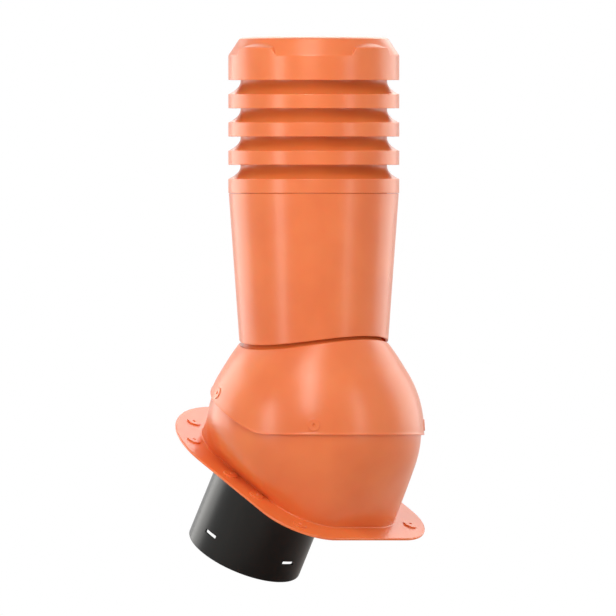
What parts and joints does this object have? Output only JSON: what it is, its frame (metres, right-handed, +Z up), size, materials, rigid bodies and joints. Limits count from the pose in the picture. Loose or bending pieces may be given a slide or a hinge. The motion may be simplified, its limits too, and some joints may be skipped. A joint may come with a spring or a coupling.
{
  "type": "roof ventilation chimney",
  "caption": "Moulded roof vent chimney for a pitched roof: flange with bowl base, ball hood, tapered sleeve, louvre rings and cap, and a round duct below the roof.",
  "frame": {"origin": "on the flange's flat underside, in the middle of its margin on the eave side, where the flange lies on the roof slope", "axes": "+Z up along the upright chimney, +X level towards the eave, +Y along the eave; the flange slopes down 30 degrees towards +X"},
  "size_m": [0.3298, 0.2794, 0.6941],
  "materials": {
    "terracotta_plastic": "satin injection-moulded polypropylene, terracotta orange",
    "black_plastic": "satin extruded black duct plastic"
  },
  "bodies": {
    "root": {"roof_base": "terracotta_plastic", "duct_pipe": "black_plastic", "ball_hood": "terracotta_plastic", "outer_sleeve": "terracotta_plastic", "louvre_ring_1": "terracotta_plastic", "louvre_ring_2": "terracotta_plastic", "louvre_ring_3": "terracotta_plastic", "louvre_ring_4": "terracotta_plastic", "cap_cover": "terracotta_plastic"}
  },
  "joints": []
}
